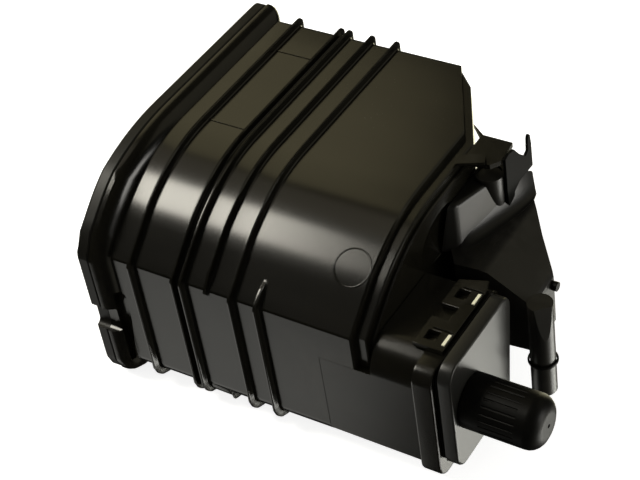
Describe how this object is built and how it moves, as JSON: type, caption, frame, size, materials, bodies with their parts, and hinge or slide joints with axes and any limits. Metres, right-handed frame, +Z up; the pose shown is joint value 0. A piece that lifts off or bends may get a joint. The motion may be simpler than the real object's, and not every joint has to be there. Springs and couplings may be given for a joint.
{
  "type": "fuel vapour canister",
  "caption": "Ribbed dark plastic charcoal canister with a welded cover, filter box, ribbed breather cap, side port chamber and down-turned pipe.",
  "frame": {"origin": "middle of the underside of the bounding box", "axes": "+X from the welded cover to the breather cap, +Y from the flat side to the back, +Z up"},
  "size_m": [0.301, 0.2168, 0.1454],
  "materials": {
    "housing_plastic": "glossy moulded, very dark olive brown",
    "black_plastic": "satin moulded black",
    "pale_nylon": "satin moulded cream",
    "inner_plastic": "plain moulded grey",
    "charcoal": "dull black granules",
    "felt": "matted fibre",
    "foam": "open cell foam",
    "seal_rubber": "dull moulded",
    "spring_steel": "drawn wire"
  },
  "bodies": {
    "root": {"air_filter": "foam", "bracket_shelf": "housing_plastic", "breather_cap": "black_plastic", "charcoal_bed_front": "charcoal", "charcoal_bed_rear": "charcoal", "end_cover": "housing_plastic", "felt_pad_front_port_side": "felt", "felt_pad_front_spring_side": "felt", "felt_pad_rear_port_side": "felt", "felt_pad_rear_spring_side": "felt", "filter_box": "housing_plastic", "filter_lid": "housing_plastic", "fork_clip": "black_plastic", "latch_plate": "housing_plastic", "latch_tab_far": "pale_nylon", "latch_tab_near": "pale_nylon", "lid_seal": "seal_rubber", "pipe_ring": "black_plastic", "port_chamber": "housing_plastic", "port_pin": "black_plastic", "pressure_plate_front": "inner_plastic", "pressure_plate_rear": "inner_plastic", "screen_front": "inner_plastic", "screen_rear": "inner_plastic", "shell": "housing_plastic", "spring_front_high": "spring_steel", "spring_front_low": "spring_steel", "spring_rear_high": "spring_steel", "spring_rear_low": "spring_steel"}
  },
  "joints": []
}
